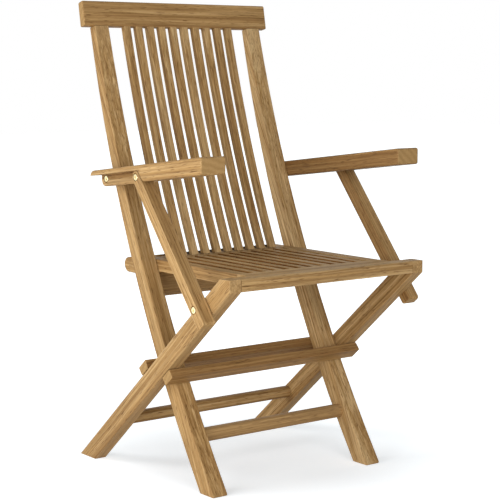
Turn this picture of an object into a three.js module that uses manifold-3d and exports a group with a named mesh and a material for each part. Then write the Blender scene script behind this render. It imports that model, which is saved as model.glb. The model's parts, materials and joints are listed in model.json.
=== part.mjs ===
// Folding teak armchair. Lengths are millimetres, Z is up, and the sitter faces -Y.
// Side-view points are [forward, up]. Forward is measured from the back edge of the rear foot.
import * as THREE from 'three';
import { mergeVertices } from 'three/addons/utils/BufferGeometryUtils.js';
import Module from 'manifold-3d';

const wasm = await Module();
wasm.setup();

// Whole chair
const chairDepth = 544.5;
const backHeight = 966;
const seatTop = 439.5;
const seatThickness = 24.4;
const slipGap = 0.4;          // room between parts that turn past each other
const holeGap = 0.15;         // room round a pin, a bolt or a tenon
const easedEdge = 1.8;        // radius on the long edges of the timbers
const softEdge = 1.2;         // radius on thin slats
const edgeSteps = 3;          // facets in an eased edge
const cornerSteps = 5;        // facets in a rounded corner of an outline
const roundSteps = 28;        // facets round a pin or a bolt
const curveSteps = 14;        // facets along a bent timber

// Layers across the chair, from the middle outwards
const boardInner = 154;
const boardWidth = 26.8;
const boardOuter = boardInner + boardWidth;
const uprightInner = boardOuter + slipGap;
const uprightWidth = 34.6;
const uprightOuter = uprightInner + uprightWidth;
const legInner = uprightOuter + slipGap * 2.5;
const railEnd = legInner - slipGap;
const legWidth = 28.1;
const legOuter = legInner + legWidth;
const armInner = uprightOuter + slipGap;
const strutInner = legOuter + slipGap * 2;
const strutWidth = 28.6;
const armOuter = strutInner + strutWidth;

// Curved uprights: three points of the front edge, and the depth of the timber at each
const uprightShares = [[0.83306, 0], [0.36713, 0.46584], [0.036, 1]];
const uprightDepths = [47.2, 38.4, 17.6];
const uprightFront = uprightShares.map(([forward, up]) => [forward * chairDepth, up * backHeight]);
const uprightRear = uprightFront.map(([forward, up], i) => [forward - uprightDepths[i], up]);
const footCorner = 3;
const frontArc = arcThrough(uprightFront);
const rearArc = arcThrough(uprightRear);

// Top rail: its section leans back, and its lowest corner stands just behind the uprights
const rail = {
  overhang: 22.8,
  depth: 18.4,
  height: 52.4,
  drop: 54.8,
  setBack: 0.4,
  tenon: 10.8,
  corner: 3.4,
  edge: 2.8,
};
const railShares = [[0, 0], [0.978, 0.0763], [0.451, 1.0763], [-0.473, 0.9733]];
const railFoot = backHeight - rail.drop;

// Back slats: how far their faces lie behind the front edge of the uprights
const slatCount = 10;
const slatWidth = 16.4;
const slatPitch = (boardInner * 2 + slatWidth) / (slatCount + 1);
const slatThickness = 12.8;
const slatHeightShares = [0.918, 0.7195, 0.4617];
const slatInsets = [3.76, 6.91, 10.72];
const slatFoot = seatTop + slipGap * 1.5;
const slatTop = railFoot + rail.tenon;
const tie = { lift: 0.5, height: 4.3, thickness: 5 };

// Rear legs: straight boards that lean from the floor to the front of the seat
const leg = { footDepth: 59.4, topInset: 30.9 };
const legTop = new THREE.Vector2(chairDepth - leg.topInset, seatTop);
const legSlope = legTop.clone().normalize();
const legNose = chairDepth - slipGap / 2;

// Cross pieces low down
const frontStretcher = { level: 101.9, setBack: 5.4, height: 27, depth: 24, corner: 8 };
const rearStretcher = { upLeg: 169.7, inset: 14, height: 24.6, depth: 24, corner: 8 };

// The two bars that the rear legs slide between
const guide = {
  endInset: 1.4,
  thickness: 18.9,
  frontRoom: 0.9,
  rearRoom: 1.7,
  frontDepth: 32,
  rearDepth: 28.9,
  corner: 2.4,
};

// Seat. Reaches are measured backwards from its pivot.
const seatPin = { inset: 8.7, drop: 6.5 };
const seatBoard = {
  stubReach: 99.5,
  stubDrop: 21.8,
  stubRadius: 15.9,
  slopeReach: 54,
  sweepLowReach: 13,
  sweepHighReach: -19,
};
const frontRail = { tongue: 62.5, depth: 31.5, corner: 3.5, smallCorner: 1.2 };
const deepBoard = { reach: 27, depth: 30, height: 79.5, chamfer: 9 };
const rearBar = { reach: 95, depth: 40, height: 28.5, fall: 5.9, corner: 7, smallCorner: 1.5 };

// Arms. Reaches are measured from the arm's pivot, and insets from its underside.
const arm = {
  lift: 162.5,
  pinSetBack: 0.4,
  pinInset: 15.23,
  riseShare: 0.11976,
  thickness: 33.7,
  rearReach: 16.6,
  frontReach: 377.5,
  frontCorner: 4.4,
  rearCorner: 14,
  edge: 3.8,
  lip: 10.2,
};

// Struts under the arms. Their step in the arm is placed from their upper pivot.
const strut = { reach: 155.9, inset: 10.19, depth: 24.8, tail: 39.5, corner: 7 };
const step = { topAhead: 7.7, topRise: 13.6, footAhead: 27, footDrop: 7.2 };
const brace = { fromTop: 73.3, inset: 18.75, shank: 20 };

// Pins and bolts
const legPin = { inset: 24.5, drop: 14.5 };
const pin = { radius: 3.5, reach: 22 };
const bolt = {
  headRadius: 6.4,
  headThickness: 3.6,
  shankRadius: 4,
  socketRadius: 2.2,
  socketDepth: 1.6,
  bury: 18,
  ring: 2,
};

// Pivots in side view
const seatPivot = [forwardAt(frontArc, seatTop - seatPin.drop) - seatPin.inset, seatTop - seatPin.drop];
const legPivot = [chairDepth - legPin.inset, seatTop - legPin.drop];
const armPivot = [uprightMiddle(seatTop + arm.lift) - arm.pinSetBack, seatTop + arm.lift];
const strutPivot = [armPivot[0] + strut.reach, armLine(armPivot[0] + strut.reach, strut.inset)];
const bracePivot = byLeg(legTop.length() - brace.fromTop, -brace.inset);

// Turns a side-view point into the outline plane, where u runs to the back and v is up.
function flat(point) {
  return new THREE.Vector2(chairDepth / 2 - point[0], point[1]);
}

// The circle through three side-view points.
function arcThrough(points) {
  const [a, b, c] = points.map((p) => new THREE.Vector2(p[0], p[1]));
  const ab = b.clone().sub(a);
  const ac = c.clone().sub(a);
  const cross = 2 * (ab.x * ac.y - ab.y * ac.x);
  const ub = ab.lengthSq();
  const uc = ac.lengthSq();
  const centre = new THREE.Vector2((ac.y * ub - ab.y * uc) / cross, (ab.x * uc - ac.x * ub) / cross).add(a);
  return { centre, radius: centre.distanceTo(a) };
}

// Forward position of an arc at a height. The arcs are hollow towards the sitter.
function forwardAt(arc, up) {
  const rise = up - arc.centre.y;
  return arc.centre.x - Math.sqrt(arc.radius * arc.radius - rise * rise);
}

// Middle of the uprights at a height.
function uprightMiddle(up) {
  return (forwardAt(frontArc, up) + forwardAt(rearArc, up)) / 2;
}

// A run of side-view points on an arc between two heights, shifted forwards.
function arcRun(arc, from, to, shift) {
  const run = [];
  for (let i = 0; i <= curveSteps; i += 1) {
    const up = from + (to - from) * (i / curveSteps);
    run.push([forwardAt(arc, up) + shift, up, 0]);
  }
  return run;
}

// Rounds the corners of a closed outline. Each corner is [forward, up, radius].
function outline(corners) {
  const points = [];
  corners.forEach((corner, i) => {
    const here = flat(corner);
    const before = flat(corners[(i + corners.length - 1) % corners.length]);
    const after = flat(corners[(i + 1) % corners.length]);
    const radius = corner[2];
    if (!radius) {
      points.push(here);
      return;
    }
    const inward = before.sub(here).normalize();
    const outward = after.sub(here).normalize();
    const half = Math.acos(THREE.MathUtils.clamp(inward.dot(outward), -1, 1)) / 2;
    const centre = inward.clone().add(outward).normalize().multiplyScalar(radius / Math.sin(half)).add(here);
    const start = here.clone().addScaledVector(inward, radius / Math.tan(half)).sub(centre);
    const end = here.clone().addScaledVector(outward, radius / Math.tan(half)).sub(centre);
    const sweep = Math.atan2(start.x * end.y - start.y * end.x, start.dot(end));
    for (let k = 0; k <= cornerSteps; k += 1) {
      points.push(start.clone().rotateAround(new THREE.Vector2(), sweep * (k / cornerSteps)).add(centre));
    }
  });
  return points;
}

// Extrudes an outline across the chair from one X to another, with eased edges at both faces.
function acrossChair(points, fromX, toX, edge) {
  const shape = new THREE.Shape(points);
  const geometry = new THREE.ExtrudeGeometry(shape, {
    depth: toX - fromX - edge * 2,
    steps: 1,
    bevelEnabled: edge > 0,
    bevelThickness: edge,
    bevelSize: edge,
    bevelOffset: -edge,
    bevelSegments: edgeSteps,
  });
  geometry.translate(0, 0, edge);
  const turn = new THREE.Matrix4().makeBasis(
    new THREE.Vector3(0, 1, 0),
    new THREE.Vector3(0, 0, 1),
    new THREE.Vector3(1, 0, 0),
  );
  geometry.applyMatrix4(turn);
  geometry.translate(fromX, 0, 0);
  return closed(geometry);
}

// A turned piece on an axis across the chair. The profile is [radius, distance outwards].
function turned(profile, point, side) {
  const geometry = new THREE.LatheGeometry(profile.map((p) => new THREE.Vector2(p[0], p[1])), roundSteps);
  geometry.rotateZ(-Math.PI / 2);
  if (side < 0) {
    geometry.rotateZ(Math.PI);
  }
  const at = flat(point);
  geometry.translate(0, at.x, at.y);
  return closed(geometry);
}

// A plain round bar, used for pins and for the holes they go in.
function roundBar(radius, from, to, point, side) {
  return turned([[0, from], [radius, from], [radius, to], [0, to]], point, side);
}

// Keeps the bare positions and welds them, so the skin is one closed surface.
function closed(geometry) {
  geometry.deleteAttribute('normal');
  geometry.deleteAttribute('uv');
  return mergeVertices(geometry, easedEdge / 1e4);
}

function solid(geometry) {
  const source = geometry.index ? geometry : mergeVertices(geometry);
  const mesh = new wasm.Mesh({
    numProp: 3,
    vertProperties: new Float32Array(source.attributes.position.array),
    triVerts: new Uint32Array(source.index.array),
  });
  return new wasm.Manifold(mesh);
}

function skin(body) {
  const mesh = body.getMesh();
  const geometry = new THREE.BufferGeometry();
  geometry.setAttribute('position', new THREE.BufferAttribute(Float32Array.from(mesh.vertProperties), 3));
  geometry.setIndex(new THREE.BufferAttribute(Uint32Array.from(mesh.triVerts), 1));
  return geometry;
}

// Takes the tools away from a piece.
function cut(geometry, tools) {
  return skin(tools.reduce((body, tool) => body.subtract(solid(tool)), solid(geometry)));
}

function join(first, second) {
  return skin(solid(first).add(solid(second)));
}

const group = new THREE.Group();
group.name = 'folding_teak_armchair';

const finishes = {
  teak: { color: 0xb07a48, roughness: 0.62, metalness: 0 },
  brass: { color: 0xd8b873, roughness: 0.3, metalness: 1 },
  steel: { color: 0xb9bcc0, roughness: 0.35, metalness: 1 },
  darkSteel: { color: 0x1c1814, roughness: 0.6, metalness: 0.4 },
};

function place(name, geometry, finish) {
  geometry.computeVertexNormals();
  const mesh = new THREE.Mesh(geometry, new THREE.MeshStandardMaterial(finishes[finish]));
  mesh.name = name;
  group.add(mesh);
}

// Runs a maker once for each side. Left is -X, as seen from in front.
function bothSides(maker) {
  maker('left', -1);
  maker('right', 1);
}

// X limits of a layer on one side of the chair.
function layer(side, inner, outer) {
  return side > 0 ? [inner, outer] : [-outer, -inner];
}

// A corner of the top rail, from the table of its shares.
function railCorner([depthShare, heightShare]) {
  const forward = forwardAt(rearArc, railFoot) - rail.setBack + rail.depth * depthShare;
  return [forward, railFoot + rail.height * heightShare, rail.corner];
}

// Height of the rail's underside at a forward position.
function railUnderside(forward) {
  const [rearForward, rearUp] = railCorner(railShares[0]);
  const [frontForward, frontUp] = railCorner(railShares[1]);
  return rearUp + ((forward - rearForward) * (frontUp - rearUp)) / (frontForward - rearForward);
}

function uprightOutline() {
  const frontCorner = railCorner(railShares[1]);
  const frontTop = railUnderside(forwardAt(frontArc, frontCorner[1])) - holeGap;
  const rearTop = railUnderside(forwardAt(rearArc, railFoot)) - holeGap;
  const up = arcRun(frontArc, 0, frontTop, 0);
  const down = arcRun(rearArc, rearTop, 0, 0);
  up[0][2] = footCorner;
  down[curveSteps][2] = footCorner;
  return outline([...up, ...down]);
}

function makeUprights() {
  bothSides((name, side) => {
    const [from, to] = layer(side, uprightInner, uprightOuter);
    const body = acrossChair(uprightOutline(), from, to, easedEdge);
    const pinHole = roundBar(pin.radius + holeGap, boardInner, uprightInner + pin.reach + holeGap, seatPivot, side);
    const boltHole = roundBar(
      bolt.shankRadius + holeGap,
      uprightOuter - bolt.bury - holeGap,
      armOuter,
      armPivot,
      side,
    );
    place(`upright_${name}`, cut(body, [pinHole, boltHole]), 'teak');
  });
}

// The bent face of the back slats, as an arc.
function slatArc() {
  return arcThrough(slatHeightShares.map((share, i) => {
    const up = backHeight * share;
    return [forwardAt(frontArc, up) - slatInsets[i], up];
  }));
}

function slatOutline(room) {
  const arc = slatArc();
  const front = arcRun(arc, slatFoot, slatTop + room, room);
  const rear = arcRun(arc, slatTop + room, slatFoot, -slatThickness - room);
  return outline([...front, ...rear]);
}

// Middle of each slat, counted from the left.
function slatMiddles() {
  return Array.from({ length: slatCount }, (_, i) => (i - (slatCount - 1) / 2) * slatPitch);
}

function makeTopRail() {
  const halfLength = uprightOuter + rail.overhang;
  const bar = acrossChair(outline(railShares.map(railCorner)), -halfLength, halfLength, rail.edge);
  const half = slatWidth / 2 + holeGap;
  const mortises = slatMiddles().map((x) => acrossChair(slatOutline(holeGap), x - half, x + half, 0));
  place('top_rail', cut(bar, mortises), 'teak');
}

function makeBackSlats() {
  slatMiddles().forEach((x, i) => {
    const number = String(i + 1).padStart(2, '0');
    const from = x - slatWidth / 2;
    place(`back_slat_${number}`, acrossChair(slatOutline(0), from, from + slatWidth, softEdge), 'teak');
  });
  const arc = slatArc();
  const bottom = slatFoot + tie.lift;
  const top = bottom + tie.height;
  const lowFace = forwardAt(arc, bottom) - slatThickness;
  const highFace = forwardAt(arc, top) - slatThickness;
  const section = [
    [lowFace, bottom, 0],
    [highFace, top, 0],
    [highFace - tie.thickness, top, 0],
    [lowFace - tie.thickness, bottom, 0],
  ];
  const reach = ((slatCount - 1) * slatPitch + slatWidth) / 2;
  place('slat_tie', acrossChair(outline(section), -reach, reach, 0), 'darkSteel');
}

function stretcher(name, [forward, up], size, halfLength) {
  const front = forward + size.depth / 2;
  const rear = forward - size.depth / 2;
  const top = up + size.height / 2;
  const bottom = up - size.height / 2;
  const section = [
    [front, bottom, size.corner],
    [front, top, size.corner],
    [rear, top, size.corner],
    [rear, bottom, size.corner],
  ];
  place(name, acrossChair(outline(section), -halfLength, halfLength, 0), 'teak');
}

// A side-view point at a distance up the rear leg's upper edge and away from it.
function byLeg(along, away, corner) {
  return [along * legSlope.x - away * legSlope.y, along * legSlope.y + away * legSlope.x, corner];
}

// Where a line beside the leg meets an edge of the uprights, as a distance up the leg.
function legMeets(arc, away) {
  const [forward, up] = byLeg(0, away, 0);
  const toLine = new THREE.Vector2(forward, up).sub(arc.centre);
  const middle = toLine.dot(legSlope);
  return -middle - Math.sqrt(middle * middle - toLine.lengthSq() + arc.radius * arc.radius);
}

function makeGuideBars() {
  const halfLength = legOuter - guide.endInset;
  const rearLow = guide.rearRoom;
  const rearHigh = rearLow + guide.thickness;
  const rearFoot = legMeets(rearArc, rearLow) - slipGap - guide.rearDepth;
  const rear = [
    byLeg(rearFoot, rearLow, guide.corner),
    byLeg(legMeets(rearArc, rearLow) - slipGap, rearLow, guide.corner),
    byLeg(legMeets(rearArc, rearHigh) - slipGap, rearHigh, guide.corner),
    byLeg(rearFoot, rearHigh, guide.corner),
  ];
  const frontHigh = -leg.footDepth * legSlope.y - guide.frontRoom;
  const frontLow = frontHigh - guide.thickness;
  const frontFoot = legMeets(frontArc, frontHigh) + slipGap;
  const frontHead = frontFoot + guide.frontDepth;
  const front = [
    byLeg(frontFoot, frontHigh, guide.corner),
    byLeg(frontHead, frontHigh, guide.corner),
    byLeg(frontHead, frontLow, guide.corner),
    byLeg(frontFoot, frontLow, guide.corner),
  ];
  place('guide_bar_rear', acrossChair(outline(rear), -halfLength, halfLength, softEdge), 'teak');
  place('guide_bar_front', acrossChair(outline(front), -halfLength, halfLength, softEdge), 'teak');
}

function makeRearLegs() {
  const corners = [
    [0, 0, 0],
    [leg.footDepth, 0, 0],
    [legNose, ((legNose - leg.footDepth) * legSlope.y) / legSlope.x, 0],
    [legNose, seatTop, 0],
    [legTop.x, seatTop, 0],
  ];
  bothSides((name, side) => {
    const [from, to] = layer(side, legInner, legOuter);
    const body = acrossChair(outline(corners), from, to, easedEdge);
    const hole = roundBar(pin.radius + holeGap, boardInner, legInner + pin.reach + holeGap, legPivot, side);
    place(`rear_leg_${name}`, cut(body, [hole]), 'teak');
  });
}

function seatBoardOutline() {
  const pivot = seatPivot[0];
  const frontEnd = chairDepth - frontRail.tongue;
  const stubForward = pivot - seatBoard.stubReach;
  const stubUp = seatTop - seatBoard.stubDrop;
  const bottom = stubUp - seatBoard.stubRadius;
  const top = stubUp + seatBoard.stubRadius;
  const end = [];
  const turns = cornerSteps * 2;
  for (let i = 0; i <= turns; i += 1) {
    const angle = -Math.PI / 2 - (Math.PI * i) / turns;
    end.push([
      stubForward + seatBoard.stubRadius * Math.cos(angle),
      stubUp + seatBoard.stubRadius * Math.sin(angle),
      0,
    ]);
  }
  const underside = seatTop - seatThickness;
  return outline([
    [frontEnd, seatTop, 0],
    [frontEnd, underside, 0],
    [pivot - seatBoard.sweepHighReach, underside, seatBoard.stubRadius],
    [pivot - seatBoard.sweepLowReach, bottom, seatBoard.stubRadius],
    ...end.map(([forward, up]) => [forward, THREE.MathUtils.clamp(up, bottom, top), 0]),
    [pivot - seatBoard.slopeReach, seatTop, 0],
  ]);
}

function makeSeatBoards() {
  bothSides((name, side) => {
    const [from, to] = layer(side, boardInner, boardOuter);
    const body = acrossChair(seatBoardOutline(), from, to, easedEdge);
    const hole = roundBar(
      pin.radius + holeGap,
      uprightInner - pin.reach - holeGap,
      uprightOuter,
      seatPivot,
      side,
    );
    place(`seat_board_${name}`, cut(body, [hole]), 'teak');
  });
}

function makeFrontRail() {
  const underside = seatTop - seatThickness;
  const inner = chairDepth - frontRail.depth;
  const tongueEnd = chairDepth - frontRail.tongue;
  const strip = [
    [chairDepth, underside, frontRail.smallCorner],
    [chairDepth, seatTop, frontRail.corner],
    [inner, seatTop, frontRail.smallCorner],
    [inner, underside, frontRail.smallCorner],
  ];
  const overlap = inner + frontRail.corner * 2;
  const tongue = [
    [overlap, underside, 0],
    [overlap, seatTop, 0],
    [tongueEnd, seatTop, 0],
    [tongueEnd, underside, 0],
  ];
  const front = acrossChair(outline(strip), -railEnd, railEnd, frontRail.smallCorner / 2);
  const body = join(front, acrossChair(outline(tongue), -boardOuter, boardOuter, 0));
  const holes = [-1, 1].map((side) => roundBar(
    pin.radius + holeGap,
    railEnd - pin.reach - holeGap,
    legOuter,
    legPivot,
    side,
  ));
  place('front_rail', cut(body, holes), 'teak');
}

function makeSeatSlats() {
  const underside = seatTop - seatThickness;
  const front = chairDepth - frontRail.tongue;
  const rear = seatPivot[0] - deepBoard.reach + deepBoard.depth;
  const section = [
    [front, underside, 0],
    [front, seatTop, 0],
    [rear, seatTop, 0],
    [rear, underside, 0],
  ];
  slatMiddles().forEach((x, i) => {
    const number = String(i + 1).padStart(2, '0');
    const from = x - slatWidth / 2;
    place(`seat_slat_${number}`, acrossChair(outline(section), from, from + slatWidth, softEdge), 'teak');
  });
}

function makeSeatCrossPieces() {
  const deepRear = seatPivot[0] - deepBoard.reach;
  const deepFront = deepRear + deepBoard.depth;
  const deepFoot = seatTop - deepBoard.height;
  const deep = [
    [deepFront, deepFoot + deepBoard.chamfer, 0],
    [deepFront, seatTop, 0],
    [deepRear, seatTop, softEdge],
    [deepRear, deepFoot, softEdge],
    [deepFront - deepBoard.chamfer, deepFoot, 0],
  ];
  const stubFoot = seatTop - seatBoard.stubDrop - seatBoard.stubRadius;
  const sweepLow = seatPivot[0] - seatBoard.sweepLowReach;
  const sweepHigh = seatPivot[0] - seatBoard.sweepHighReach;
  const sweepShare = (deepFront - sweepLow) / (sweepHigh - sweepLow);
  const frontUnder = THREE.MathUtils.lerp(stubFoot, seatTop - seatThickness, sweepShare);
  const ends = [
    [deepFront, deepFoot + deepBoard.chamfer, 0],
    [deepFront, frontUnder - slipGap, 0],
    [sweepLow, stubFoot - slipGap, 0],
    [deepRear, stubFoot - slipGap, 0],
    [deepRear, deepFoot, softEdge],
    [deepFront - deepBoard.chamfer, deepFoot, 0],
  ];
  const middle = acrossChair(outline(deep), -boardInner, boardInner, 0);
  const lower = acrossChair(outline(ends), -boardOuter, boardOuter, 0);
  place('seat_cross_board', join(middle, lower), 'teak');
  const barRear = seatPivot[0] - rearBar.reach;
  const barFront = barRear + rearBar.depth;
  const barFoot = seatTop - rearBar.height;
  const bar = [
    [barFront, barFoot, rearBar.smallCorner],
    [barFront, seatTop, rearBar.smallCorner],
    [barRear, seatTop - rearBar.fall, rearBar.corner],
    [barRear, barFoot, rearBar.corner],
  ];
  place('seat_rear_bar', acrossChair(outline(bar), -boardInner, boardInner, 0), 'teak');
}

// The underside line of the arm, moved up square to itself.
function armLine(forward, away) {
  const climb = (forward - armPivot[0]) * arm.riseShare;
  return armPivot[1] + climb + (away - arm.pinInset) * Math.hypot(1, arm.riseShare);
}

function armOutline() {
  const front = armPivot[0] + arm.frontReach;
  const rear = armPivot[0] - arm.rearReach;
  return outline([
    [front, armLine(front, 0), arm.frontCorner],
    [front, armLine(front, arm.thickness), arm.frontCorner],
    [rear, armLine(rear, arm.thickness), arm.rearCorner],
    [rear, armLine(rear, 0), arm.rearCorner],
  ]);
}

// The step cut from below, outside the layer that the strut turns in.
function armRebate(side) {
  const topForward = strutPivot[0] + step.topAhead;
  const topUp = strutPivot[1] + step.topRise;
  const footForward = strutPivot[0] + step.footAhead;
  const footUp = strutPivot[1] - step.footDrop;
  const lipUnder = arm.thickness - arm.lip;
  const run = (footForward - topForward) / (footUp - topUp);
  const rear = armPivot[0] - arm.rearReach;
  const low = armLine(rear, 0) - arm.thickness;
  const back = rear - arm.thickness;
  const meet = armLine(topForward, lipUnder);
  const tool = outline([
    [topForward + (meet - topUp) * run, meet, 0],
    [footForward + (low - footUp) * run, low, 0],
    [back, low, 0],
    [back, armLine(back, lipUnder), 0],
  ]);
  const [from, to] = layer(side, legOuter, armOuter + arm.thickness);
  return acrossChair(tool, from, to, 0);
}

function makeArms() {
  bothSides((name, side) => {
    const [from, to] = layer(side, armInner, armOuter);
    const body = acrossChair(armOutline(), from, to, arm.edge);
    const boltFace = legOuter;
    const armHole = roundBar(bolt.shankRadius + holeGap, uprightInner, boltFace, armPivot, side);
    const armSeat = roundBar(
      bolt.headRadius + bolt.ring,
      boltFace - bolt.headThickness - holeGap,
      armOuter + bolt.bury,
      armPivot,
      side,
    );
    const strutHole = roundBar(
      bolt.shankRadius + holeGap,
      legOuter - bolt.bury - holeGap,
      armOuter,
      strutPivot,
      side,
    );
    place(`arm_${name}`, cut(body, [armRebate(side), armHole, armSeat, strutHole]), 'teak');
  });
}

function strutOutline() {
  const top = new THREE.Vector2(...strutPivot);
  const low = new THREE.Vector2(...bracePivot);
  const down = low.clone().sub(top).normalize();
  const across = new THREE.Vector2(-down.y, down.x);
  const half = strut.depth / 2;
  const foot = low.clone().addScaledVector(down, strut.tail);
  const right = foot.clone().addScaledVector(across, half);
  const left = foot.clone().addScaledVector(across, -half);
  const head = [];
  const turns = cornerSteps * 2;
  for (let i = 0; i <= turns; i += 1) {
    const angle = (Math.PI * i) / turns;
    const spot = top.clone()
      .addScaledVector(across, -half * Math.cos(angle))
      .addScaledVector(down, -half * Math.sin(angle));
    head.push([spot.x, spot.y, 0]);
  }
  return outline([...head, [right.x, right.y, strut.corner], [left.x, left.y, strut.corner]]);
}

function makeStruts() {
  bothSides((name, side) => {
    const [from, to] = layer(side, strutInner, armOuter);
    const body = acrossChair(strutOutline(), from, to, easedEdge);
    const seatFrom = armOuter - bolt.headThickness - holeGap;
    const topHole = roundBar(bolt.shankRadius + holeGap, legInner, armOuter, strutPivot, side);
    const topSeat = roundBar(bolt.headRadius + bolt.ring, seatFrom, armOuter + bolt.bury, strutPivot, side);
    const lowHole = roundBar(
      bolt.shankRadius + holeGap,
      armOuter - brace.shank - holeGap,
      armOuter,
      bracePivot,
      side,
    );
    const lowSeat = roundBar(bolt.headRadius + bolt.ring, seatFrom, armOuter + bolt.bury, bracePivot, side);
    place(`strut_${name}`, cut(body, [topHole, topSeat, lowHole, lowSeat]), 'teak');
  });
}

// A brass bolt with a flat head and a round socket. Distances are from the chair's middle.
function makeBolt(name, point, side, shankEnd, face) {
  const neck = face - bolt.headThickness;
  const rim = softEdge / 4;
  const profile = [
    [0, shankEnd],
    [bolt.shankRadius, shankEnd],
    [bolt.shankRadius, neck],
    [bolt.headRadius, neck],
    [bolt.headRadius, face - rim],
    [bolt.headRadius - rim, face],
    [bolt.socketRadius, face],
    [bolt.socketRadius, face - bolt.socketDepth],
    [0, face - bolt.socketDepth],
  ];
  place(name, turned(profile, point, side), 'brass');
}

function makeHardware() {
  bothSides((name, side) => {
    makeBolt(`arm_bolt_${name}`, armPivot, side, uprightOuter - bolt.bury, legOuter);
    makeBolt(`strut_bolt_${name}`, strutPivot, side, legOuter - bolt.bury, armOuter);
    makeBolt(`brace_bolt_${name}`, bracePivot, side, armOuter - brace.shank, armOuter);
    const seatFrom = uprightInner - pin.reach;
    const seatTo = uprightInner + pin.reach;
    place(`seat_pin_${name}`, roundBar(pin.radius, seatFrom, seatTo, seatPivot, side), 'steel');
    const legFrom = railEnd - pin.reach;
    const legTo = legInner + pin.reach;
    place(`leg_pin_${name}`, roundBar(pin.radius, legFrom, legTo, legPivot, side), 'steel');
  });
}

makeUprights();
makeTopRail();
makeBackSlats();
stretcher(
  'front_stretcher',
  [uprightMiddle(frontStretcher.level) - frontStretcher.setBack, frontStretcher.level],
  frontStretcher,
  uprightInner,
);
makeGuideBars();
makeRearLegs();
stretcher('rear_stretcher', byLeg(rearStretcher.upLeg, -rearStretcher.inset), rearStretcher, legInner);
makeSeatBoards();
makeFrontRail();
makeSeatSlats();
makeSeatCrossPieces();
makeArms();
makeStruts();
makeHardware();

export default group;
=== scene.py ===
import json
import math

import bmesh
import bpy
from mathutils import Matrix, Vector


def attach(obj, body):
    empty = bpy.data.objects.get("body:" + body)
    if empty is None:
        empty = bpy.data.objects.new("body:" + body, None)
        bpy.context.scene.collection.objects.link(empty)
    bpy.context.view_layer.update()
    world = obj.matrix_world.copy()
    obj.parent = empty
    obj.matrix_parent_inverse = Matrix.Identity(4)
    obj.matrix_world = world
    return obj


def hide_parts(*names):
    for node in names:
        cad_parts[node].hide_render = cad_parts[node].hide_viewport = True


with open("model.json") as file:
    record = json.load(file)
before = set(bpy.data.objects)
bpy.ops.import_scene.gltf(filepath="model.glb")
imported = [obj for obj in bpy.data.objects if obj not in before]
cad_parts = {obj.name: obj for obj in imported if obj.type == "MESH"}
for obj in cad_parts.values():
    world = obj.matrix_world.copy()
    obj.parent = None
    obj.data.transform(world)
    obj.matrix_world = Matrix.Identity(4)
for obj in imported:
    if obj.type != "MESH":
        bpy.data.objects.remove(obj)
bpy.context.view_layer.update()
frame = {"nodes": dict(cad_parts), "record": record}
print("frame loaded")


cameraSettings = {
    "place": (-1.8450, -2.4444, 0.8286),
    "turn": -37.18,        # degrees round Z, 0 looks along +Y
    "tilt": 7.015,         # degrees below level
    "lens": 106.76,
    "sensor": 36.0,
    "clip": (0.05, 60),
}


def makeCamera():
    data = bpy.data.cameras.new("camera")
    data.lens = cameraSettings["lens"]
    data.sensor_width = cameraSettings["sensor"]
    data.sensor_fit = "HORIZONTAL"
    data.clip_start, data.clip_end = cameraSettings["clip"]
    camera = bpy.data.objects.new("camera", data)
    bpy.context.scene.collection.objects.link(camera)
    camera.location = cameraSettings["place"]
    camera.rotation_euler = (
        math.radians(90 - cameraSettings["tilt"]),
        0,
        math.radians(cameraSettings["turn"]),
    )
    bpy.context.scene.camera = camera


def newMaterial(name):
    material = bpy.data.materials.new(name)
    material.use_nodes = True
    tree = material.node_tree
    shader = tree.nodes["Principled BSDF"]
    return material, tree, shader


def addNode(tree, kind, **values):
    node = tree.nodes.new(kind)
    for key, value in values.items():
        setattr(node, key, value)
    return node


def objectSpace(tree, output="Object"):
    return addNode(tree, "ShaderNodeTexCoord").outputs[output]


def mapped(tree, source, scale=(1, 1, 1), rotation=(0, 0, 0), location=(0, 0, 0)):
    node = addNode(tree, "ShaderNodeMapping")
    node.inputs["Scale"].default_value = scale
    node.inputs["Rotation"].default_value = rotation
    node.inputs["Location"].default_value = location
    tree.links.new(source, node.inputs["Vector"])
    return node.outputs["Vector"]


def noise(tree, vector, scale, detail, roughness=0.5):
    node = addNode(tree, "ShaderNodeTexNoise")
    node.inputs["Scale"].default_value = scale
    node.inputs["Detail"].default_value = detail
    node.inputs["Roughness"].default_value = roughness
    tree.links.new(vector, node.inputs["Vector"])
    return node.outputs["Fac"]


# noise stretched by a scale for each axis
def stretched(tree, source, scale, detail, roughness=0.5, location=(0, 0, 0)):
    return noise(tree, mapped(tree, source, scale, location=location), 1.0, detail, roughness)


def ramp(tree, value, stops):
    node = addNode(tree, "ShaderNodeValToRGB")
    band = node.color_ramp
    while len(band.elements) < len(stops):
        band.elements.new(0.5)
    for element, (place, colour) in zip(band.elements, stops):
        element.position = place
        element.color = (*colour, 1)
    tree.links.new(value, node.inputs["Fac"])
    return node.outputs["Color"]


# black to white between two values
def maskBetween(tree, value, reach):
    start, full = reach
    return ramp(tree, value, [(start, (0, 0, 0)), (full, (1, 1, 1))])


def arithmetic(tree, operation, *values, clamp=False):
    node = addNode(tree, "ShaderNodeMath", operation=operation, use_clamp=clamp)
    for socket, value in zip(node.inputs, values):
        if isinstance(value, (int, float)):
            socket.default_value = value
        else:
            tree.links.new(value, socket)
    return node.outputs[0]


def mixColour(tree, amount, first, second, blend="MIX"):
    node = addNode(tree, "ShaderNodeMix", data_type="RGBA", blend_type=blend)
    sockets = [node.inputs[0], node.inputs[6], node.inputs[7]]
    for socket, value in zip(sockets, (amount, first, second)):
        if isinstance(value, (int, float)):
            socket.default_value = value
        elif isinstance(value, tuple):
            socket.default_value = (*value, 1)
        else:
            tree.links.new(value, socket)
    return node.outputs[2]


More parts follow.
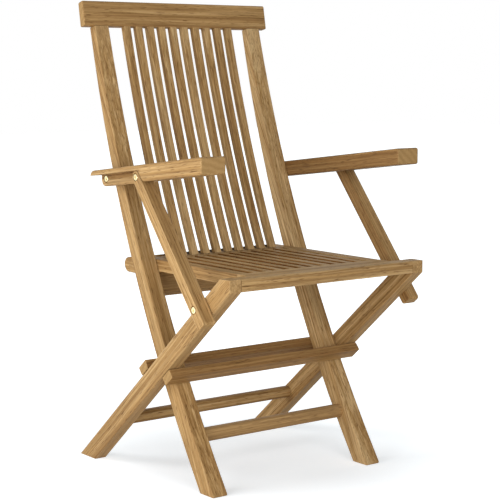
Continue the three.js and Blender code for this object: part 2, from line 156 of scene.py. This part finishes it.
# 1 on the thin lines where a noise crosses its middle level, 0 away from them
def strandMask(tree, value, reach):
    away = arithmetic(tree, "ABSOLUTE", arithmetic(tree, "SUBTRACT", value, 0.5))
    return arithmetic(tree, "SUBTRACT", 1.0, arithmetic(tree, "DIVIDE", away, reach), clamp=True)


teakLook = {
    "deep": (0.228, 0.116, 0.037),
    "middle": (0.412, 0.252, 0.101),
    "pale": (0.575, 0.403, 0.207),
    "toneStops": (0.33, 0.50, 0.67),    # where deep, middle and pale lie on the streaks
    "bandShare": 0.45,                  # of broad bands in the tone, the rest is streaks
    "fibreDark": (0.68, 0.62, 0.54),
    "fibrePale": (1.20, 1.22, 1.24),
    "fibreReach": (0.34, 0.64),
    "lineShade": (0.50, 0.41, 0.30),
    "lineReach": 0.040,
    "fleckShade": (0.34, 0.25, 0.18),
    "fleckReach": (0.60, 0.74),
    "endDark": (0.315, 0.188, 0.072),
    "endPale": (0.425, 0.268, 0.112),
    "endReach": (0.80, 0.92),           # how squarely a face cuts the fibres
    "endStops": (0.25, 0.75),
    "ringShare": 0.3,
    "wornEdge": 0.30,
    "wornReach": (0.52, 0.62),
    "roughness": 0.46,
    "roughSpread": 0.16,
    "sheen": 0.12,
    "grainStrength": 0.5,
    "grainDepth": 0.00016,
    "wander": 0.010,
}

# each scale is in repeats a metre, along the fibres and twice across them
grainNoises = {
    "wander": {"scale": (2.5, 9, 9), "detail": 2},
    "band": {"scale": (0.8, 42, 42), "detail": 2},
    "streak": {"scale": (1.3, 210, 210), "detail": 5, "roughness": 0.62},
    "fibre": {"scale": (6, 300, 300), "detail": 4, "roughness": 0.68},
    "line": {"scale": (0.45, 80, 80), "detail": 1},
    "lineStrength": {"scale": (3, 30, 30), "detail": 1, "location": (7, 3, 1)},
    "fleck": {"scale": (45, 620, 620), "detail": 1},
}
endRings = {"Scale": 26, "Distortion": 2.5, "Detail": 3, "Detail Scale": 1.5}
ringShift = {"across": 0.11, "up": 0.07, "spread": 0.03}    # metres, the spread differs from board to board
seedShift = (1.37, 0.73, 0.41)      # moves each board to another part of the same pattern

# painted shade: darker tones on the sides that face along one axis, where shade falls in the seat's gaps
# and under the seat
paintedShades = {
    "sides": {"axis": "X", "reach": (0.25, 0.60), "tint": (0.46, 0.33, 0.20)},     # in the seat's gaps
    "top": {"axis": "Z", "reach": (0.05, 0.40), "tint": (0.62, 0.54, 0.42)},       # low bar under the seat
}


# sawn ends show fine growth rings instead of streaks
def addEndGrain(tree, colour, straight, fibre, fibreLine, seed):
    facing = addNode(tree, "ShaderNodeVectorMath", operation="DOT_PRODUCT")
    tree.links.new(objectSpace(tree, "Normal"), facing.inputs[0])
    facing.inputs[1].default_value = tuple(fibreLine)
    squareness = arithmetic(tree, "ABSOLUTE", facing.outputs["Value"])
    endMask = maskBetween(tree, squareness, teakLook["endReach"])
    rings = addNode(tree, "ShaderNodeTexWave", wave_type="RINGS", rings_direction="X")
    for socket, value in endRings.items():
        rings.inputs[socket].default_value = value
    across = ringShift["across"] + seed % ringShift["spread"]
    ringPlace = mapped(tree, straight, location=(0, across, ringShift["up"]))
    tree.links.new(ringPlace, rings.inputs["Vector"])
    share = teakLook["ringShare"]
    fibrePart = arithmetic(tree, "MULTIPLY", fibre, 1 - share)
    blend = arithmetic(tree, "MULTIPLY_ADD", rings.outputs["Fac"], share, fibrePart)
    ends = (teakLook["endDark"], teakLook["endPale"])
    ringColour = ramp(tree, blend, list(zip(teakLook["endStops"], ends)))
    return mixColour(tree, endMask, colour, ringColour)


# darkens the faces along one axis with painted shade
def addPaintedShade(tree, colour, look):
    facing = addNode(tree, "ShaderNodeSeparateXYZ")
    tree.links.new(objectSpace(tree, "Normal"), facing.inputs[0])
    along = arithmetic(tree, "ABSOLUTE", facing.outputs[look["axis"]])
    mask = maskBetween(tree, along, look["reach"])
    return mixColour(tree, mask, colour, look["tint"], blend="MULTIPLY")


# sharp convex edges are paler
def addPaleEdges(tree, colour):
    geometry = addNode(tree, "ShaderNodeNewGeometry")
    edge = maskBetween(tree, geometry.outputs["Pointiness"], teakLook["wornReach"])
    paleAmount = arithmetic(tree, "MULTIPLY", edge, teakLook["wornEdge"])
    return mixColour(tree, paleAmount, colour, teakLook["pale"])


def teakMaterial(name, along, seed, tone, shade=None):
    material, tree, shader = newMaterial(name)
    fibreLine = Vector(along).normalized()
    turn = fibreLine.rotation_difference(Vector((1, 0, 0))).to_euler()
    place = tuple(seed * share for share in seedShift)
    straight = mapped(tree, objectSpace(tree), rotation=tuple(turn), location=place)

    # the fibres wander a little over the length of a board
    wander = stretched(tree, straight, **grainNoises["wander"])
    shift = addNode(tree, "ShaderNodeVectorMath", operation="MULTIPLY_ADD")
    tree.links.new(wander, shift.inputs[0])
    shift.inputs[1].default_value = (0, teakLook["wander"], teakLook["wander"])
    tree.links.new(straight, shift.inputs[2])
    grain = shift.outputs[0]

    # broad bands and long streaks set the tone
    bands = stretched(tree, grain, **grainNoises["band"])
    streak = stretched(tree, grain, **grainNoises["streak"])
    share = teakLook["bandShare"]
    blend = arithmetic(tree, "MULTIPLY_ADD", bands, share, tone)
    blend = arithmetic(tree, "MULTIPLY_ADD", streak, 1 - share, blend)
    tones = (teakLook["deep"], teakLook["middle"], teakLook["pale"])
    colour = ramp(tree, blend, list(zip(teakLook["toneStops"], tones)))

    # hair-fine fibres
    fibre = stretched(tree, grain, **grainNoises["fibre"])
    fibreTones = (teakLook["fibreDark"], teakLook["fibrePale"])
    fibreColour = ramp(tree, fibre, list(zip(teakLook["fibreReach"], fibreTones)))
    colour = mixColour(tree, 1.0, colour, fibreColour, blend="MULTIPLY")

    # a few long dark growth lines, stronger in some places than in others
    level = stretched(tree, grain, **grainNoises["line"])
    strength = stretched(tree, grain, **grainNoises["lineStrength"])
    lines = arithmetic(tree, "MULTIPLY", strandMask(tree, level, teakLook["lineReach"]), strength)
    colour = mixColour(tree, lines, colour, teakLook["lineShade"], blend="MULTIPLY")

    # short dark flecks
    fleck = stretched(tree, grain, **grainNoises["fleck"])
    fleckMask = maskBetween(tree, fleck, teakLook["fleckReach"])
    colour = mixColour(tree, fleckMask, colour, teakLook["fleckShade"], blend="MULTIPLY")

    colour = addEndGrain(tree, colour, straight, fibre, fibreLine, seed)
    # pieces with a painted shade get it in place of the paler edges
    colour = addPaintedShade(tree, colour, paintedShades[shade]) if shade else addPaleEdges(tree, colour)
    tree.links.new(colour, shader.inputs["Base Color"])

    rough = arithmetic(tree, "MULTIPLY_ADD", fibre, teakLook["roughSpread"], teakLook["roughness"])
    tree.links.new(rough, shader.inputs["Roughness"])
    shader.inputs["Specular IOR Level"].default_value = teakLook["sheen"]
    bump = addNode(tree, "ShaderNodeBump")
    bump.inputs["Strength"].default_value = teakLook["grainStrength"]
    bump.inputs["Distance"].default_value = teakLook["grainDepth"]
    tree.links.new(arithmetic(tree, "SUBTRACT", fibre, lines), bump.inputs["Height"])
    tree.links.new(bump.outputs["Normal"], shader.inputs["Normal"])
    return material


brassLook = {"bright": (0.90, 0.78, 0.47), "dull": (0.72, 0.56, 0.27), "roughness": 0.14}
steelLook = {"bright": (0.62, 0.62, 0.63), "dull": (0.50, 0.50, 0.51), "roughness": 0.22}
turnedLook = {
    "cloudScale": 260,
    "cloudReach": (0.40, 0.56),
    "scratch": {"scale": (1, 60, 900), "detail": 2},
    "roughSpread": 0.16,
}


def metalMaterial(name, look):
    material, tree, shader = newMaterial(name)
    coordinates = objectSpace(tree)
    cloud = noise(tree, coordinates, turnedLook["cloudScale"], detail=4)
    tones = (look["dull"], look["bright"])
    colour = ramp(tree, cloud, list(zip(turnedLook["cloudReach"], tones)))
    tree.links.new(colour, shader.inputs["Base Color"])
    scratch = stretched(tree, coordinates, **turnedLook["scratch"])
    rough = arithmetic(tree, "MULTIPLY_ADD", scratch, turnedLook["roughSpread"], look["roughness"])
    tree.links.new(rough, shader.inputs["Roughness"])
    shader.inputs["Metallic"].default_value = 1.0
    return material


# near black painted shade: the slat tie takes this colour to stand for the deep shade of the gap behind the
# slats' feet
gapShadeLook = {
    "bright": (0.040, 0.024, 0.012),
    "dull": (0.022, 0.012, 0.006),
    "roughness": 0.8,
    "cloudScale": 400,
    "cloudReach": (0.35, 0.65),
}


def gapShadeMaterial(name):
    material, tree, shader = newMaterial(name)
    cloud = noise(tree, objectSpace(tree), gapShadeLook["cloudScale"], detail=3)
    tones = (gapShadeLook["dull"], gapShadeLook["bright"])
    colour = ramp(tree, cloud, list(zip(gapShadeLook["cloudReach"], tones)))
    tree.links.new(colour, shader.inputs["Base Color"])
    shader.inputs["Roughness"].default_value = gapShadeLook["roughness"]
    return material


finish = {
    "sharpAngle": 40,       # degrees, edges sharper than this stay crisp
    "flatAngle": 0.3,       # degrees, faces closer than this become one
    "weld": 0.00002,        # metres
    "faceWeight": 100,
}


def bodyOf(node):
    bodies = frame["record"]["behaviour"]["bodies"]
    return next(body for body, nodes in bodies.items() if node in nodes)


def camelName(node):
    first, *rest = node.split("_")
    return first + "".join(word.capitalize() for word in rest)


# a welded copy of the CAD solid with smooth eased edges, which stands for it
def finishPiece(node, material):
    source = frame["nodes"][node]
    mesh = source.data.copy()
    work = bmesh.new()
    work.from_mesh(mesh)
    bmesh.ops.remove_doubles(work, verts=work.verts, dist=finish["weld"])
    bmesh.ops.dissolve_limit(
        work,
        angle_limit=math.radians(finish["flatAngle"]),
        use_dissolve_boundaries=False,
        verts=work.verts,
        edges=work.edges,
    )
    bmesh.ops.recalc_face_normals(work, faces=work.faces)
    limit = math.radians(finish["sharpAngle"])
    for edge in work.edges:
        edge.smooth = edge.calc_face_angle(0) < limit
    for face in work.faces:
        face.smooth = True
    work.to_mesh(mesh)
    work.free()
    mesh.materials.clear()
    mesh.materials.append(material)
    piece = bpy.data.objects.new(camelName(node) + "Piece", mesh)
    bpy.context.scene.collection.objects.link(piece)
    normals = piece.modifiers.new("evenNormals", "WEIGHTED_NORMAL")
    normals.keep_sharp = True
    normals.weight = finish["faceWeight"]
    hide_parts(node)
    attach(piece, bodyOf(node))


# length direction of each kind of timber, how light it is, and a painted shade if it has one; left and
# right copies of a piece differ in tone as painted light and shade
grainRuns = {
    "upright_left": {"along": (0, 0.44, 0.9), "tone": 0.0},
    "upright_right": {"along": (0, 0.44, 0.9), "tone": 0.045},
    "top_rail": {"along": (1, 0, 0), "tone": -0.02},
    "back_slat": {"along": (0, 0.33, 0.94), "tone": 0.0},
    "front_stretcher": {"along": (1, 0, 0), "tone": -0.035},
    "rear_stretcher": {"along": (1, 0, 0), "tone": -0.01, "shade": "top"},
    "guide_bar": {"along": (1, 0, 0), "tone": -0.08},
    "rear_leg_left": {"along": (0, -0.76, 0.65), "tone": 0.045},
    "rear_leg_right": {"along": (0, -0.76, 0.65), "tone": -0.03},
    "seat_board": {"along": (0, 1, 0), "tone": 0.03},
    "front_rail": {"along": (1, 0, 0), "tone": 0.03},
    "seat_slat": {"along": (0, 1, 0), "tone": 0.11, "shade": "sides"},
    "seat_cross_board": {"along": (1, 0, 0), "tone": 0.0},
    "seat_rear_bar": {"along": (1, 0, 0), "tone": 0.0},
    "arm_left": {"along": (0, -0.993, 0.115), "tone": 0.0},
    "arm_right": {"along": (0, -0.993, 0.115), "tone": -0.14},
    "strut_left": {"along": (0, -0.631, -0.776), "tone": 0.03},
    "strut_right": {"along": (0, -0.631, -0.776), "tone": -0.07},
}


boardSpread = {"seedStep": 0.61, "levels": 11, "stride": 37, "toneStep": 0.008}


# a small step of tone from board to board, which looks random and never changes
def toneDrift(count):
    levels = boardSpread["levels"]
    return ((count * boardSpread["stride"]) % levels - levels // 2) * boardSpread["toneStep"]


def grainKind(node):
    if "_bolt_" in node or "_pin_" in node:
        return None
    fitting = [kind for kind in grainRuns if node.startswith(kind)]
    return max(fitting, key=len, default=None)


def dressTimber():
    count = 0
    for node in sorted(frame["nodes"]):
        kind = grainKind(node)
        if kind is None:
            continue
        run = grainRuns[kind]
        count += 1
        name = "teak" + camelName("_" + node)
        seed = count * boardSpread["seedStep"]
        tone = run["tone"] + toneDrift(count)
        material = teakMaterial(name, run["along"], seed, tone, run.get("shade"))
        finishPiece(node, material)
    print("timber pieces:", count)


def dressHardware():
    brass = metalMaterial("satinBrass", brassLook)
    steel = metalMaterial("turnedSteel", steelLook)
    # the slat tie is coloured near black as painted shade for the gap behind the slats' feet
    dark = gapShadeMaterial("darkCoating")
    for node in sorted(frame["nodes"]):
        if "_bolt_" in node:
            finishPiece(node, brass)
        elif "_pin_" in node:
            finishPiece(node, steel)
        elif node == "slat_tie":
            finishPiece(node, dark)
    print("hardware dressed")


studio = {
    "floorSize": 14,
    "floorRoughness": 0.9,
    "floorColour": (0.79, 0.80, 0.82),
    "bounceColour": (0.84, 0.77, 0.66),     # what the floor throws back at the chair
    "liftColour": (1.0, 1.06, 1.10),        # cools the warm light on the floor
    "nearRange": (0.12, 0.55),              # metres from the chair's middle
    "nearLifts": (0.43, 0.75),              # light that only the picture shows, so the floor reads white
    "farRange": (0.60, 1.30),
    "farLifts": (0.0, 0.30),
    "worldColour": (1.0, 0.96, 0.88),
    "worldLight": 0.18,
    "skyColour": (1, 1, 1),
    "skyLight": 1.0,
}


# 1 for rays that show a thing itself, 0 for those that only light the chair
def seenRays(tree):
    rays = addNode(tree, "ShaderNodeLightPath").outputs
    seen = arithmetic(tree, "MAXIMUM", rays["Is Camera Ray"], rays["Is Glossy Ray"])
    return arithmetic(tree, "MAXIMUM", seen, rays["Is Transmission Ray"])


def rangeOf(tree, value, reach, results):
    node = addNode(tree, "ShaderNodeMapRange", interpolation_type="SMOOTHSTEP")
    tree.links.new(value, node.inputs["Value"])
    node.inputs["From Min"].default_value, node.inputs["From Max"].default_value = reach
    node.inputs["To Min"].default_value, node.inputs["To Max"].default_value = results
    return node.outputs["Result"]


def makeFloor():
    work = bmesh.new()
    bmesh.ops.create_grid(work, x_segments=1, y_segments=1, size=studio["floorSize"])
    mesh = bpy.data.meshes.new("floor")
    work.to_mesh(mesh)
    work.free()
    floor = bpy.data.objects.new("floor", mesh)
    bpy.context.scene.collection.objects.link(floor)
    material, tree, shader = newMaterial("paleFloor")
    shader.inputs["Roughness"].default_value = studio["floorRoughness"]
    shader.inputs["Specular IOR Level"].default_value = 0.0
    glow = addNode(tree, "ShaderNodeEmission")
    glow.inputs["Color"].default_value = (*studio["liftColour"], 1)
    seen = seenRays(tree)
    colour = mixColour(tree, seen, studio["bounceColour"], studio["floorColour"])
    tree.links.new(colour, shader.inputs["Base Color"])
    distance = addNode(tree, "ShaderNodeVectorMath", operation="LENGTH")
    tree.links.new(objectSpace(tree), distance.inputs[0])
    nearPart = rangeOf(tree, distance.outputs["Value"], studio["nearRange"], studio["nearLifts"])
    farPart = rangeOf(tree, distance.outputs["Value"], studio["farRange"], studio["farLifts"])
    lift = arithmetic(tree, "ADD", nearPart, farPart)
    tree.links.new(arithmetic(tree, "MULTIPLY", seen, lift), glow.inputs["Strength"])
    both = addNode(tree, "ShaderNodeAddShader")
    tree.links.new(shader.outputs[0], both.inputs[0])
    tree.links.new(glow.outputs[0], both.inputs[1])
    tree.links.new(both.outputs[0], tree.nodes["Material Output"].inputs["Surface"])
    mesh.materials.append(material)


def makeWorld():
    world = bpy.data.worlds.new("studio")
    bpy.context.scene.world = world
    world.use_nodes = True
    tree = world.node_tree
    light = tree.nodes["Background"]
    light.inputs["Color"].default_value = (*studio["worldColour"], 1)
    light.inputs["Strength"].default_value = studio["worldLight"]
    white = addNode(tree, "ShaderNodeBackground")
    white.inputs["Color"].default_value = (*studio["skyColour"], 1)
    white.inputs["Strength"].default_value = studio["skyLight"]
    seen = seenRays(tree)
    mix = addNode(tree, "ShaderNodeMixShader")
    tree.links.new(seen, mix.inputs["Fac"])
    tree.links.new(light.outputs[0], mix.inputs[1])
    tree.links.new(white.outputs[0], mix.inputs[2])
    tree.links.new(mix.outputs[0], tree.nodes["World Output"].inputs["Surface"])


lamps = {
    "keyLamp": {"power": 86, "place": (-3.6, 1.9, 2.4), "size": 2.2},
    "frontLamp": {"power": 97, "place": (-1.3, -4.2, 1.6), "size": 2.6},
    "sideLamp": {"power": 13, "place": (-1.6, -0.5, 0.55), "size": 0.9},
}
lampTarget = (0, 0, 0.45)


def makeLamp(name, power, place, size):
    data = bpy.data.lights.new(name, "AREA")
    data.energy = power
    data.size = size
    lamp = bpy.data.objects.new(name, data)
    bpy.context.scene.collection.objects.link(lamp)
    lamp.location = place
    aim = Vector(lampTarget) - Vector(place)
    lamp.rotation_euler = aim.to_track_quat("-Z", "Y").to_euler()


makeCamera()
dressTimber()
dressHardware()
makeFloor()
makeWorld()
for lampName, lamp in lamps.items():
    makeLamp(lampName, **lamp)
bpy.context.scene.view_settings.view_transform = "Standard"
print("studio set")
